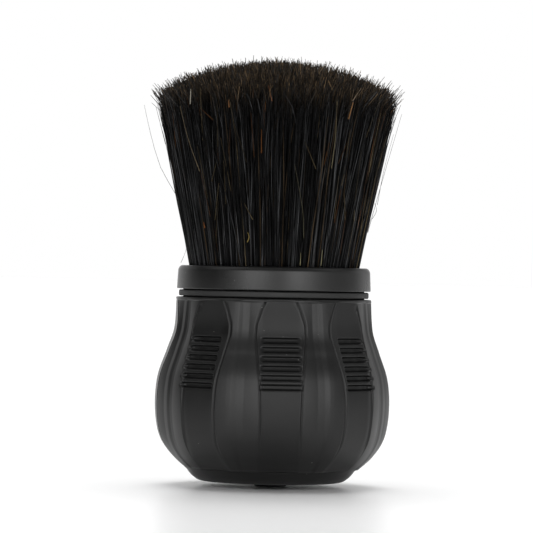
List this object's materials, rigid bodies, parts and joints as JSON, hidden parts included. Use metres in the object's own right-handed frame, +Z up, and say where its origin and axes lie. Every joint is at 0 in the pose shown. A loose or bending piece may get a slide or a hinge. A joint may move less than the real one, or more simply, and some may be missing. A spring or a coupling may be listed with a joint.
{
  "type": "neck duster brush",
  "caption": "Round neck duster: a flared, dome-trimmed head of dark hair in a fluted black plastic knob with finger slots and a collar.",
  "frame": {"origin": "on the brush's axis, in the plane of the small foot that it stands on", "axes": "+Z up along the axis, towards the hair; -Y out of the middle of one grip panel"},
  "size_m": [0.068, 0.068, 0.12],
  "materials": {
    "black_plastic": "satin moulded black plastic",
    "black_rubber": "matt black rubber",
    "cup_plastic": "plain dark grey moulded plastic",
    "cast_resin": "cast amber resin",
    "binding_cord": "twisted cotton cord",
    "dark_hair": "black and dark brown natural hair"
  },
  "bodies": {
    "root": {"knob_shell": "black_plastic", "base_cap": "black_plastic", "centre_foot": "black_rubber", "neck_ring": "black_rubber", "collar": "black_plastic", "hair_cup": "cup_plastic", "root_resin": "cast_resin", "root_binding": "binding_cord", "hair_head": "dark_hair"}
  },
  "joints": []
}
